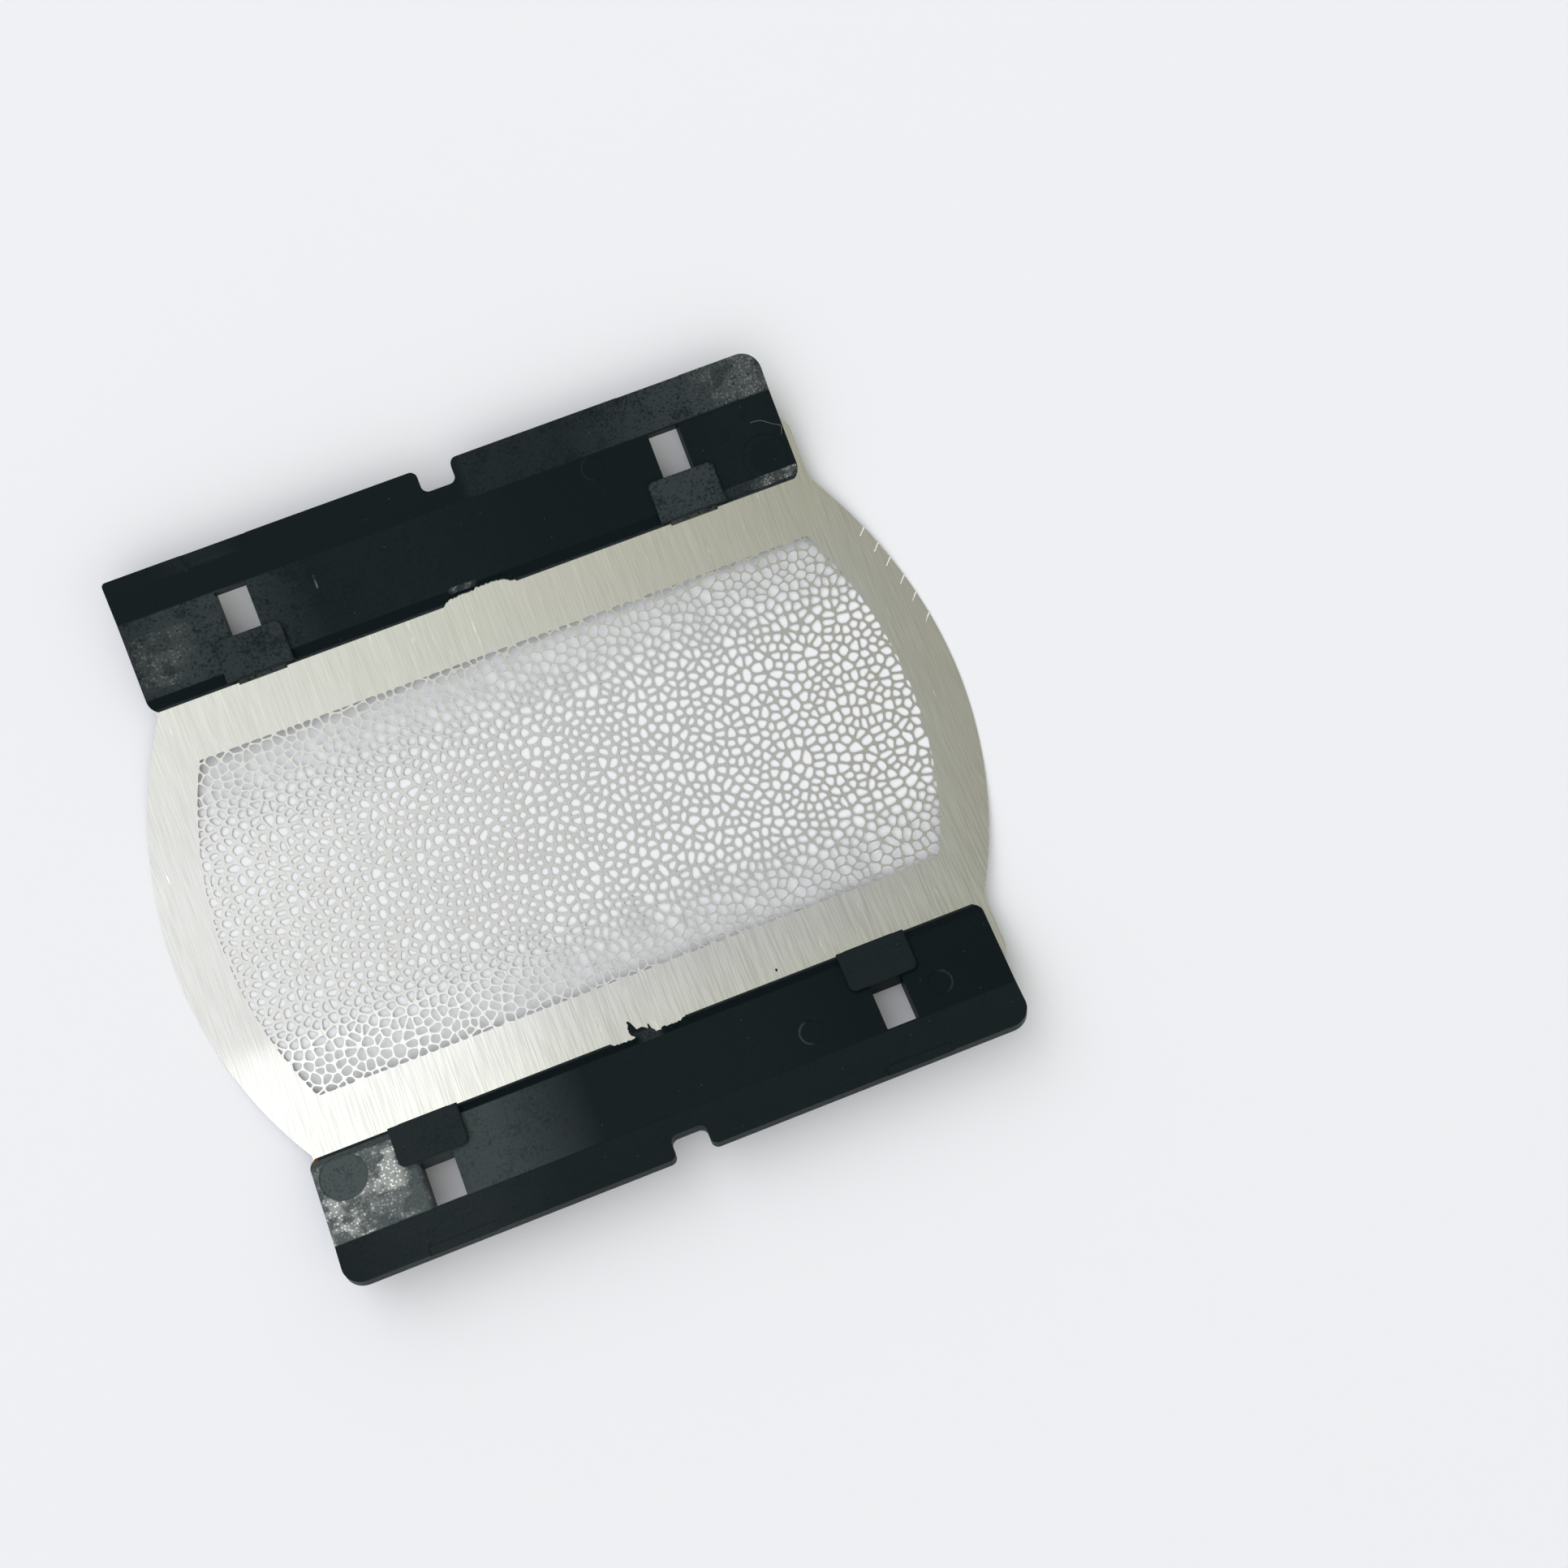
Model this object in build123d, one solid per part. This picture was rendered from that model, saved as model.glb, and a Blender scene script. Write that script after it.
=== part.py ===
from build123d import *
import math
import os
import random

os.makedirs("parts", exist_ok=True)

# Shaver foil: a thin perforated nickel screen held by two black moulded strips.
# It lies on its back: the middle of the foil touches the table and both strips rise outward a little.
# X runs along the strips, Y from the lower strip to the upper one, Z up from the table.
# Lengths are in millimetres, angles in degrees.

# Curl of the foil
lift_angle = 12.8
flat_half = 4.0
lead = 0.4

# Strip plan
strip_length = 40.0
strip_offset = -0.35
strip_inner = 13.84
plate_width = 5.2
flange_width = 2.54
strip_width = plate_width + flange_width

# Strip section
plate_thickness = 1.0
plate_under = 0.42
flange_rise = 0.37
flange_thickness = 0.8
bevel_width = 0.6
bevel_drop = 0.38
lip_width = 0.15
lip_cover = 0.10

# Strip corners
outer_corner = 1.2
sharp_corner = 0.25
inner_corner = 0.8

# Lug windows and the pads beside them
window_offset = 13.3
window_width = 1.72
window_start = 2.54
window_depth = 2.50
window_draft = 5.0
pad_width = 4.05
pad_depth = 2.44
pad_rise = 0.32
pad_corner = 0.4
pad_chamfer = 0.08
tongue_width = 2.9
tongue_reach = 0.27
tongue_root = 0.2

# Middle notch in the outer edge, gate recess in the inner edge
notch_width = 2.05
notch_depth = 1.38
notch_corner = 0.42
gate_width = 4.5
gate_depth = 0.5

# Shallow steps in the outer edge and marks left by the mould
step_width = 3.9
step_depth = 0.55
step_drop = 0.13
pin_diameter = 1.4
pin_depth = 0.04
upper_pins = ((8.7, 4.4),)
lower_pins = ((-8.4, 3.65), (-16.1, 3.65))
round_mark_diameter = 2.7
round_mark_depth = 0.05
round_mark_inset = 1.6

# Foil sheet
foil_thickness = 0.06
foil_half_width = 24.0
foil_neck = 20.1
tail_depth = 4.1
tail_corner = 1.6
window_cover = 0.3
anchor_length = 1.6
anchor_width = 0.8
anchor_depth = 1.4
anchor_places = (-17.6, -8.6, 0.0, 8.6, 17.6)

# Plastic is moulded straight on to the foil, so that the fit has no play
moulded_clearance = 0.0

# How far a cutter or a blank reaches past what it cuts
spare = 1.0

# Perforated field
field_half_height = 10.35
field_half_width = 21.1
field_corner_width = 18.75
cell_pitch = 1.72
bar_width = 0.33
cell_scatter = 0.20
cell_edge_min = 0.30
cell_area_min = 0.42
cell_seed = 7

# Where the bend of the foil ends and its straight tails begin
lift = math.radians(lift_angle)
tail_start = strip_inner - lead * math.cos(lift)
bend_radius = (tail_start - flat_half) / math.sin(lift)
tail_height = bend_radius * (1.0 - math.cos(lift))
upper_place = Pos(0.0, tail_start, tail_height) * Rot(lift_angle, 0.0, 0.0)


def clip_half_plane(points, px, py, nx, ny):
    """Part of a convex polygon that lies behind the line through (px, py) with outward normal (nx, ny)."""
    kept = []
    for index, (ax, ay) in enumerate(points):
        bx, by = points[(index + 1) % len(points)]
        da = (ax - px) * nx + (ay - py) * ny
        db = (bx - px) * nx + (by - py) * ny
        if da <= 0.0:
            kept.append((ax, ay))
        if (da < 0.0 < db) or (db < 0.0 < da):
            share = da / (da - db)
            kept.append((ax + share * (bx - ax), ay + share * (by - ay)))
    return kept


def polygon_area(points):
    total = 0.0
    for index, (ax, ay) in enumerate(points):
        bx, by = points[(index + 1) % len(points)]
        total += ax * by - bx * ay
    return total / 2.0


def without_short_edges(points, shortest):
    """Joins corners that stand closer together than the shortest edge wanted."""
    points = list(points)
    while len(points) > 3:
        lengths = []
        for index, a in enumerate(points):
            lengths.append(math.dist(a, points[(index + 1) % len(points)]))
        least = min(lengths)
        if least >= shortest:
            break
        index = lengths.index(least)
        after = (index + 1) % len(points)
        a, b = points[index], points[after]
        points[index] = ((a[0] + b[0]) / 2.0, (a[1] + b[1]) / 2.0)
        points.pop(after)
    return points


def field_lines():
    """Straight lines and tangents that bound the barrel-shaped field."""
    lines = [(0.0, field_half_height, 0.0, 1.0), (0.0, -field_half_height, 0.0, -1.0)]
    bulge = field_half_width - field_corner_width
    radius = (field_half_height ** 2 + bulge ** 2) / (2.0 * bulge)
    reach = math.asin(field_half_height / radius)
    centre = field_half_width - radius
    for step in range(-4, 5):
        angle = reach * step / 4.0
        nx, ny = math.cos(angle), math.sin(angle)
        lines.append((centre + radius * nx, radius * ny, nx, ny))
        lines.append((-centre - radius * nx, radius * ny, -nx, ny))
    return lines


def screen_cells():
    """Openings of the screen: each scattered point owns the ground nearest to it, less half a bar all round."""
    scatter = random.Random(cell_seed)
    row_step = cell_pitch * math.sqrt(3.0) / 2.0
    rows = int(field_half_height / row_step) + 2
    columns = int(field_half_width / cell_pitch) + 3
    seeds = []
    for row in range(-rows, rows + 1):
        for column in range(-columns, columns + 1):
            x = (column + 0.5 * (row % 2)) * cell_pitch
            y = row * row_step
            x += scatter.uniform(-cell_scatter, cell_scatter) * cell_pitch
            y += scatter.uniform(-cell_scatter, cell_scatter) * cell_pitch
            seeds.append((x, y))
    bounds = field_lines()
    cells = []
    for sx, sy in seeds:
        if abs(sy) > field_half_height + cell_pitch or abs(sx) > field_half_width + cell_pitch:
            continue
        reach = 1.5 * cell_pitch
        cell = [(sx - reach, sy - reach), (sx + reach, sy - reach), (sx + reach, sy + reach), (sx - reach, sy + reach)]
        for ox, oy in seeds:
            gap = math.hypot(ox - sx, oy - sy)
            if gap < 1e-9 or gap > 2.5 * cell_pitch:
                continue
            nx, ny = (ox - sx) / gap, (oy - sy) / gap
            half = gap / 2.0 - bar_width / 2.0
            cell = clip_half_plane(cell, sx + nx * half, sy + ny * half, nx, ny)
            if len(cell) < 3:
                break
        for px, py, nx, ny in bounds:
            if len(cell) >= 3:
                cell = clip_half_plane(cell, px, py, nx, ny)
        if len(cell) < 3:
            continue
        cell = without_short_edges(cell, cell_edge_min)
        if polygon_area(cell) >= cell_area_min:
            cells.append(cell)
    return cells


def near(shape, x, y):
    """Corner of a plan outline nearest to the given place."""
    return shape.vertices().sort_by_distance((x, y, 0.0))[0]


def on_bend(angle, inset):
    """Point of the foil's section at an angle along the bend, inset from its underside."""
    radius = bend_radius - inset
    return (flat_half + radius * math.sin(angle), bend_radius - radius * math.cos(angle))


def foil_section():
    """Section across the foil: flat where it touches the table, sprung up in a smooth curve on both sides."""
    under = [on_bend(0.0, 0.0), on_bend(lift / 2.0, 0.0), on_bend(lift, 0.0)]
    over = [on_bend(0.0, foil_thickness), on_bend(lift / 2.0, foil_thickness), on_bend(lift, foil_thickness)]
    with BuildSketch(Plane.YZ) as section:
        with BuildLine():
            for side in (-1.0, 1.0):
                ends = [(side, 0.0), (side * math.cos(lift), math.sin(lift))]
                low = [(side * y, z) for y, z in under]
                top = [(side * y, z) for y, z in over]
                Spline(*low, tangents=ends)
                Line(low[2], top[2])
                Spline(*top, tangents=ends)
            Line((-flat_half, 0.0), (flat_half, 0.0))
            Line((-flat_half, foil_thickness), (flat_half, foil_thickness))
        make_face()
    return section.sketch


def foil_plan():
    """Plan of the foil between the strips: barrel sides, with the screen's openings."""
    far = tail_start + spare
    with BuildSketch() as plan:
        with BuildLine():
            for side in (-1.0, 1.0):
                Line((-foil_neck, side * far), (foil_neck, side * far))
                Line((side * foil_neck, -far), (side * foil_neck, -tail_start))
                Line((side * foil_neck, far), (side * foil_neck, tail_start))
                ThreePointArc(
                    (side * foil_neck, -tail_start),
                    (side * foil_half_width, 0.0),
                    (side * foil_neck, tail_start),
                )
        make_face()
    openings = []
    for cell in screen_cells():
        openings.append(Wire.make_polygon([Vector(x, y, 0.0) for x, y in cell], close=True))
    return Face(plan.sketch.faces()[0].outer_wire(), openings)


def tail_plan():
    """Straight tail of the foil in its strip: rounded ears, slots at the windows, openings for the anchors."""
    end = lead + tail_depth
    slot_half = window_width / 2.0 + window_cover
    slot_foot = lead + window_start - window_cover
    plan = Pos(0.0, end / 2.0) * Rectangle(2.0 * foil_neck, end)
    plan = fillet([near(plan, -foil_neck, end), near(plan, foil_neck, end)], tail_corner)
    for side in (-1.0, 1.0):
        slot = Pos(strip_offset + side * window_offset, slot_foot + tail_depth / 2.0)
        plan -= slot * Rectangle(2.0 * slot_half, tail_depth)
    for place in anchor_places:
        plan -= Pos(place, lead + anchor_depth) * Rectangle(anchor_length, anchor_width)
    return plan


def mirrored_tail_plan():
    """The lower tail before its half turn, so that its slots meet the lower strip's windows."""
    return mirror(tail_plan(), about=Plane.YZ)


def foil_sheet():
    band = extrude(foil_section(), amount=foil_half_width + spare, both=True)
    screen = Pos(0.0, 0.0, -spare) * extrude(foil_plan(), amount=tail_height + 2.0 * spare)
    sheet = band & screen
    upper = upper_place * extrude(tail_plan(), amount=foil_thickness)
    lower = upper_place * extrude(mirrored_tail_plan(), amount=foil_thickness)
    return sheet + upper + lower.rotate(Axis.Z, 180.0)


def strip_plan(left_corner):
    """Plan outline: rounded ends and the notch in the middle of the outer edge."""
    half = strip_length / 2.0
    inner = lead - tongue_reach
    outer = lead + strip_width
    plan = Pos(0.0, (inner + outer) / 2.0) * Rectangle(strip_length, outer - inner)
    plan -= Pos(0.0, outer) * Rectangle(notch_width, 2.0 * notch_depth)
    plan = fillet([near(plan, half, outer)], outer_corner)
    plan = fillet([near(plan, -half, outer)], left_corner)
    plan = fillet([near(plan, half, inner), near(plan, -half, inner)], inner_corner)
    notch = []
    for side in (-0.5, 0.5):
        notch.append(near(plan, side * notch_width, outer))
        notch.append(near(plan, side * notch_width, outer - notch_depth))
    return fillet(notch, notch_corner)


def strip_section():
    """Section across the strip: thin lip on the foil, bevel, plate and the flange that rises outward."""
    low = -plate_under
    top = plate_thickness - plate_under
    lip_top = foil_thickness + lip_cover
    outer = lead + strip_width
    outline = Polyline(
        (0.0, lead - lip_width, low),
        (0.0, lead - lip_width, lip_top),
        (0.0, lead, lip_top),
        (0.0, lead, top - bevel_drop),
        (0.0, lead + bevel_width, top),
        (0.0, lead + plate_width, top),
        (0.0, outer, top + flange_rise),
        (0.0, outer, top + flange_rise - flange_thickness),
        (0.0, lead + plate_width, low),
        close=True,
    )
    return make_face(outline)


def pad():
    """Raised pad that crosses the bevel at the inner edge, with softened outer corners."""
    height = plate_thickness - plate_under + pad_rise - foil_thickness
    outer = lead + pad_depth
    plan = Pos(0.0, lead + pad_depth / 2.0) * Rectangle(pad_width, pad_depth)
    plan = fillet([near(plan, -pad_width, outer), near(plan, pad_width, outer)], pad_corner)
    block = Pos(0.0, 0.0, foil_thickness) * extrude(plan, amount=height)
    return chamfer(block.edges().group_by(Axis.Z)[-1], pad_chamfer)


def tongue():
    """Thin tongue of the lip under each pad."""
    back = lead + tongue_root
    front = lead - tongue_reach
    height = plate_under + foil_thickness + lip_cover
    return Pos(0.0, (back + front) / 2.0, height / 2.0 - plate_under) * Box(tongue_width, back - front, height)


def gate():
    """Recess where the moulding's gate was broken off, above the foil."""
    inner = lead - lip_width
    outer = lead + gate_depth
    slope = outer - inner
    outline = Polyline(
        (-gate_width / 2.0, inner),
        (gate_width / 2.0, inner),
        (gate_width / 2.0 - slope, outer),
        (slope - gate_width / 2.0, outer),
        close=True,
    )
    return Pos(0.0, 0.0, foil_thickness) * extrude(make_face(outline), amount=plate_thickness)


def strip(left_corner, pins):
    """Upper strip in the plane of the foil's tail; the lower one is the same moulding turned half a turn."""
    half = strip_length / 2.0
    top = plate_thickness - plate_under
    high = plate_thickness + flange_rise

    body = Pos(-half, 0.0, 0.0) * extrude(strip_section(), amount=strip_length, dir=(1.0, 0.0, 0.0))
    for side in (-1.0, 1.0):
        body += Pos(side * window_offset, 0.0, 0.0) * pad()
        body += Pos(side * window_offset, 0.0, 0.0) * tongue()
    body &= Pos(0.0, 0.0, -spare) * extrude(strip_plan(left_corner), amount=high + 2.0 * spare)
    body -= gate()

    window = extrude(Rectangle(window_width, window_depth), amount=high, taper=-window_draft)
    for side in (-1.0, 1.0):
        place = side * window_offset
        body -= Pos(place, lead + window_start + window_depth / 2.0, -plate_under) * window
        step = Pos(place, lead + strip_width, top + flange_rise - step_drop + high / 2.0)
        body -= step * Box(step_width, 2.0 * step_depth, high)

    # Marks left by the mould in the plate
    for x, depth in pins:
        body -= Pos(x, lead + depth, top - pin_depth + high / 2.0) * Cylinder(pin_diameter / 2.0, high)
    mark = Pos(half - round_mark_inset, lead + round_mark_inset, top - round_mark_depth + high / 2.0)
    return body - mark * Cylinder(round_mark_diameter / 2.0, high)


def tail_room(plan):
    """Room in a strip for the tail of the foil, with the same outline and openings."""
    room = extrude(plan, amount=foil_thickness + 2.0 * moulded_clearance)
    return Pos(0.0, 0.0, -moulded_clearance) * room


foil = foil_sheet()
upper_body = Pos(strip_offset, 0.0, 0.0) * strip(sharp_corner, upper_pins)
upper_strip = upper_place * (upper_body - tail_room(tail_plan()))
lower_body = Pos(-strip_offset, 0.0, 0.0) * strip(outer_corner, lower_pins)
lower_strip = (upper_place * (lower_body - tail_room(mirrored_tail_plan()))).rotate(Axis.Z, 180.0)

export_step(foil, "parts/foil.step")
export_step(upper_strip, "parts/upper_strip.step")
export_step(lower_strip, "parts/lower_strip.step")
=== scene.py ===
"""Shaver foil with two moulded strips: a perforated nickel screen, gently curled, lying on a white table."""
import math
import random

import bmesh
import bpy
from bpy.props import FloatProperty, FloatVectorProperty, IntProperty, PointerProperty
from mathutils import Matrix, Vector, geometry, kdtree


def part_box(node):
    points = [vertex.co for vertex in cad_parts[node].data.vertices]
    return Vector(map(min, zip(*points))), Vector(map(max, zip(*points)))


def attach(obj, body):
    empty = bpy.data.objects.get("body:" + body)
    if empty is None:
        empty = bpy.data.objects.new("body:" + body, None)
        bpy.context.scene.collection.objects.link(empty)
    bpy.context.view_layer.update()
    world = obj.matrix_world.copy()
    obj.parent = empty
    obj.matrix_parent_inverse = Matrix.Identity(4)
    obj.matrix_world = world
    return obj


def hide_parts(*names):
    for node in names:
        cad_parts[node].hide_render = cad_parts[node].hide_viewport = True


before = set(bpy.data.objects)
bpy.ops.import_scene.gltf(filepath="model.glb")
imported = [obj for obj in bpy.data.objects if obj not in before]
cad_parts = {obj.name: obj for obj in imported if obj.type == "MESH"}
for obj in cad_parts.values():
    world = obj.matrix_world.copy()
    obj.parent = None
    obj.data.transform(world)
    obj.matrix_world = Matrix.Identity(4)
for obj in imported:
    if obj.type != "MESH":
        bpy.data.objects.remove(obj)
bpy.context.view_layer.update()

bl_info = {
    "name": "Shaver Foil",
    "version": (1, 0, 0),
    "blender": (4, 5, 0),
    "location": "View3D > Sidebar > Shaver Foil",
    "description": "Builds a perforated shaver foil with its two moulded strips",
    "category": "Add Mesh",
}

# One millimetre in Blender's metres
MM = 0.001
# The two strips: the node's name and the side of the foil on which it lies
STRIP_SIDES = (("upper_strip", 1.0), ("lower_strip", -1.0))

foil_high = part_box("foil")[1]


def linear(hex_colour):
    """Linear RGBA of an sRGB hex colour."""
    channels = []
    for start in (1, 3, 5):
        value = int(hex_colour[start:start + 2], 16) / 255.0
        channels.append(value / 12.92 if value <= 0.04045 else ((value + 0.055) / 1.055) ** 2.4)
    return (*channels, 1.0)


def length(name, description, millimetres):
    """Property for a length, given in millimetres."""
    return FloatProperty(
        name=name, description=description, default=millimetres * MM, unit="LENGTH", precision=5
    )


def amount(name, description, value, unit="NONE"):
    """Property for a plain number."""
    return FloatProperty(name=name, description=description, default=value, unit=unit)


def colour(name, description, hex_colour):
    """Property for a colour, given as an sRGB hex value."""
    return FloatVectorProperty(
        name=name, description=description, default=linear(hex_colour), size=4, subtype="COLOR",
        min=0.0, max=1.0
    )


class ShaverFoilSheet(bpy.types.PropertyGroup):
    """Sizes and colours of the nickel sheet."""

    lift_angle: FloatProperty(
        name="Lift", description="Slope of the tails", default=math.radians(12.8), subtype="ANGLE"
    )
    flat_half: length("Flat half", "Half the depth of the zone that touches the table", 4.0)
    tail_start: length("Tail start", "Distance from the middle at which the bend ends", 13.45)
    thickness: length("Thickness", "Thickness of the sheet", 0.06)
    half_width: length("Half width", "Half the width across the bulging sides", foil_high.x / MM)
    neck: length("Neck", "Half the width where the sheet enters the strips", 20.1)
    tail_length: length("Tail length", "Length of the straight tail in each strip", 4.5)
    tail_corner: length("Tail corner", "Radius of the tail's rounded ears", 1.6)
    slot_middle: length("Slot middle", "Place of the tail's window slots from the strip's middle", 13.3)
    slot_half: length("Slot half", "Half the width of a window slot", 1.16)
    slot_foot: length("Slot foot", "Where a window slot starts along the tail", 2.64)
    strip_offset: length("Strip offset", "How far the strips lie off the middle of the sheet", -0.35)
    anchor_length: length("Anchor length", "Length of an opening for the plastic's anchors", 1.6)
    anchor_width: length("Anchor width", "Width of an opening for the plastic's anchors", 0.8)
    anchor_depth: length("Anchor depth", "Place of the anchors along the tail", 1.8)
    anchor_inner: length("Inner anchors", "Place of the inner anchors along the strip", 8.6)
    anchor_outer: length("Outer anchors", "Place of the outer anchors along the strip", 17.6)
    field_half_height: length("Field half height", "Half the depth of the perforated field", 10.35)
    field_half_width: length("Field half width", "Half the width of the field in its middle", 21.1)
    field_corner_width: length("Field corner width", "Half the width of the field at its corners", 18.75)
    opening_gap: length("Opening gap", "Least distance between the middles of two openings", 0.43)
    openings_per_mm2: amount("Openings", "Openings on a square millimetre", 2.75)
    bar_broad: length("Broad bar", "Width of the bars between openings in the middle and at the left", 0.19)
    bar_right: length("Right bar", "Width of the bars at the right end of the field", 0.12)
    bar_edge: length("Edge bar", "Width of the bars along the field's long edges", 0.09)
    seed: IntProperty(name="Seed", description="Seed of the irregular openings", default=11)
    tab_length: length("Tab length", "Length of a broken tab on the rim", 0.6)
    tab_width: length("Tab width", "Width of a broken tab on the rim", 0.09)
    nickel: colour("Nickel", "Colour of the sanded nickel", "#CCCCC8")
    nickel_shade: colour("Nickel in scratches", "Colour in the sanding scratches", "#B8B8B3")
    nickel_bright: colour("Nickel on burrs", "Colour of deep fresh scratches", "#F4F4F1")


class ShaverFoilStrips(bpy.types.PropertyGroup):
    """Sizes and colours of the moulded strips."""

    edge_radius: length("Edge", "Width of the worn round on the strips' edges", 0.05)
    tear_left: length("Tear from", "Where the torn gate starts along the strip", -2.6)
    tear_right: length("Tear to", "Where the torn gate ends along the strip", 1.9)
    tear_back: length("Tear back", "Depth to which the torn gate reaches into the strip", 1.0)
    tear_height: length("Tear height", "Height of the torn gate at its back", 0.46)
    flake_thickness: length("Flake", "Thickness of the flake torn loose at a gate", 0.09)
    crumb_width: length("Crumb width", "Width of the crumb that lies on the lower margin", 0.15)
    crumb_length: length("Crumb length", "Length of the crumb that lies on the lower margin", 0.21)
    crumb_height: length("Crumb height", "Height of the crumb that lies on the lower margin", 0.10)
    plate_top: length("Plate top", "Height of a strip's plate above the underside of the foil", 0.58)
    lint_thickness: length("Lint", "Thickness of the lint fibre on the upper strip", 0.04)
    plastic: colour("Plastic", "Colour of the moulded plastic", "#0E181B")
    # Colour of scuffs, also used for the painted sheen on the plates, flanges and pads
    scuff_and_sheen: colour("Scuff", "Colour of scuffed plastic", "#879193")
    # Colour of bruises, also used for the pale ground of the painted glints at the strip ends that face the
    # lamp
    bruise_and_glint: colour("Bruise", "Colour of bruised plastic", "#C2C6C5")
    # Colour of the sparkling specks: painted glints of the lamp over bruised specks
    sparkle: colour("Sparkle", "Colour of bruised specks", "#F4F5F4")
    stain: colour("Stain", "Colour of the scorched corner", "#6E4C24")
    lint: colour("Lint", "Colour of the lint fibre", "#6C706F")
    lint_shade: colour("Lint in twists", "Colour of the lint fibre where it twists", "#474B4B")


class ShaverFoilStage(bpy.types.PropertyGroup):
    """Table, light and camera."""

    table: colour("Table", "Colour of the table", "#EFF0F6")
    floor_gap: length("Floor gap", "Air between the foil and the table", 0.03)
    floor_size: length("Floor size", "Side of the table", 4000.0)
    focal_length: amount("Lens", "Focal length on a 36 mm sensor", 59.63)
    sky_left: amount("Sky at the left", "Strength of the sky at the left", 1.67)
    sky_right: amount("Sky at the right", "Strength of the sky at the right", 0.43)
    sky_low: amount("Low sky", "Strength of the sky near the horizon", 0.36)
    sky_front: amount("Front sky", "Extra strength of the sky in front", 1.4)
    sky_cool: colour("Cool sky", "Colour of the sky at the left and near the horizon", "#F7F8FA")
    sky_warm: colour("Warm sky", "Colour of the sky at the right", "#F5F6DE")
    key_power: amount("Key", "Power of the key lamp", 0.64, "POWER")


def add_node(tree, kind, inputs=None, **settings):
    """Adds a shader node of a kind, sets its fields, and sets or links its inputs."""
    node = tree.nodes.new("ShaderNode" + kind)
    for name, value in settings.items():
        setattr(node, name, value)
    for name, value in (inputs or {}).items():
        if isinstance(value, bpy.types.NodeSocket):
            tree.links.new(value, node.inputs[name])
        else:
            node.inputs[name].default_value = value
    return node


def new_material(name):
    """Empty material and its node tree."""
    material = bpy.data.materials.new(name)
    material.use_nodes = True
    material.node_tree.nodes.clear()
    return material, material.node_tree


def select_only(piece):
    """Leaves one piece selected and active."""
    bpy.ops.object.select_all(action="DESELECT")
    piece.select_set(True)
    bpy.context.view_layer.objects.active = piece


def apply_modifier(piece, name, kind, **settings):
    """Adds a modifier and applies it."""
    select_only(piece)
    modifier = piece.modifiers.new(name, kind)
    for field, value in settings.items():
        setattr(modifier, field, value)
    bpy.ops.object.modifier_apply(modifier=modifier.name)


def new_piece(name, points, faces):
    """Mesh object from points and faces, at the origin."""
    mesh = bpy.data.meshes.new(name)
    mesh.from_pydata(points, [], faces)
    mesh.update()
    piece = bpy.data.objects.new(name, mesh)
    bpy.context.scene.collection.objects.link(piece)
    return piece


def face_outward(split=False):
    """Turns all faces of the active piece outward and sorts them, and can first split them to triangles."""
    bpy.ops.object.mode_set(mode="EDIT")
    bpy.ops.mesh.select_all(action="SELECT")
    if split:
        bpy.ops.mesh.quads_convert_to_tris()
    bpy.ops.mesh.normals_make_consistent(inside=False)
    # Extruding leaves its faces in no fixed order, and sorting makes every run the same
    bpy.ops.mesh.sort_elements(type="CURSOR_DISTANCE", elements={"FACE"})
    bpy.ops.object.mode_set(mode="OBJECT")


def added(name, operator, **settings):
    """Adds one thing by its operator, with nothing else selected, and names it."""
    bpy.ops.object.select_all(action="DESELECT")
    operator(**settings)
    thing = bpy.context.object
    thing.name = name
    return thing


# The sheet is drawn in plan, in metres: x along the strips, t along the sheet from its middle.
# Points along half of a bulging side, along a rounded ear and along a bulging side of the field
SIDE_STEPS = 40
EAR_STEPS = 8
FIELD_STEPS = 8
# Tries for each point of the scatter, and the neighbours that bound its opening
TRIES = 30
NEIGHBOURS = 24
# Least width of an opening, least edge of it, and the share of an edge that a rounded corner takes
LEAST_OPENING = 0.12 * MM
LEAST_EDGE = 0.08 * MM
CORNER_SHARE = 0.24
# Where the bars grow thinner: towards the right along x, and outward along t
THIN_RIGHT = (-11.0 * MM, 17.0 * MM)
THIN_OUTWARD = (3.5 * MM, 8.5 * MM)
# Spacing of the extra points in the plain margins, and their distance from outlines
MARGIN_STEP = 0.7 * MM
MARGIN_CLEAR = 0.3 * MM


def bend_radius(sheet):
    return (sheet.tail_start - sheet.flat_half) / math.sin(sheet.lift_angle)


def bend_rise(sheet):
    """Height of the bend's end above the flat zone."""
    return bend_radius(sheet) * (1.0 - math.cos(sheet.lift_angle))


def on_sheet(sheet, x, t):
    """Place in space of a plan point: flat in the middle, bent at both sides, straight in the tails."""
    side = math.copysign(1.0, t)
    reach = abs(t)
    radius = bend_radius(sheet)
    if reach <= sheet.flat_half:
        return (x, t, 0.0)
    if reach <= sheet.tail_start:
        return (x, t, radius - math.sqrt(radius ** 2 - (reach - sheet.flat_half) ** 2))
    run = reach - sheet.tail_start
    y = sheet.tail_start + run * math.cos(sheet.lift_angle)
    return (x, side * y, bend_rise(sheet) + run * math.sin(sheet.lift_angle))


def barrel_radius(half_height, bulge):
    """Radius of a side that bulges out in its middle."""
    return (half_height ** 2 + bulge ** 2) / (2.0 * bulge)


def barrel_side(t, half_height, middle, corner):
    """Half the width of a barrel outline at height t."""
    radius = barrel_radius(half_height, middle - corner)
    return middle - radius + math.sqrt(radius ** 2 - min(abs(t), half_height) ** 2)


def field_side(sheet, t):
    return barrel_side(t, sheet.field_half_height, sheet.field_half_width, sheet.field_corner_width)


def sheet_side(sheet, t):
    return barrel_side(t, sheet.tail_start, sheet.half_width, sheet.neck)


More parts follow.
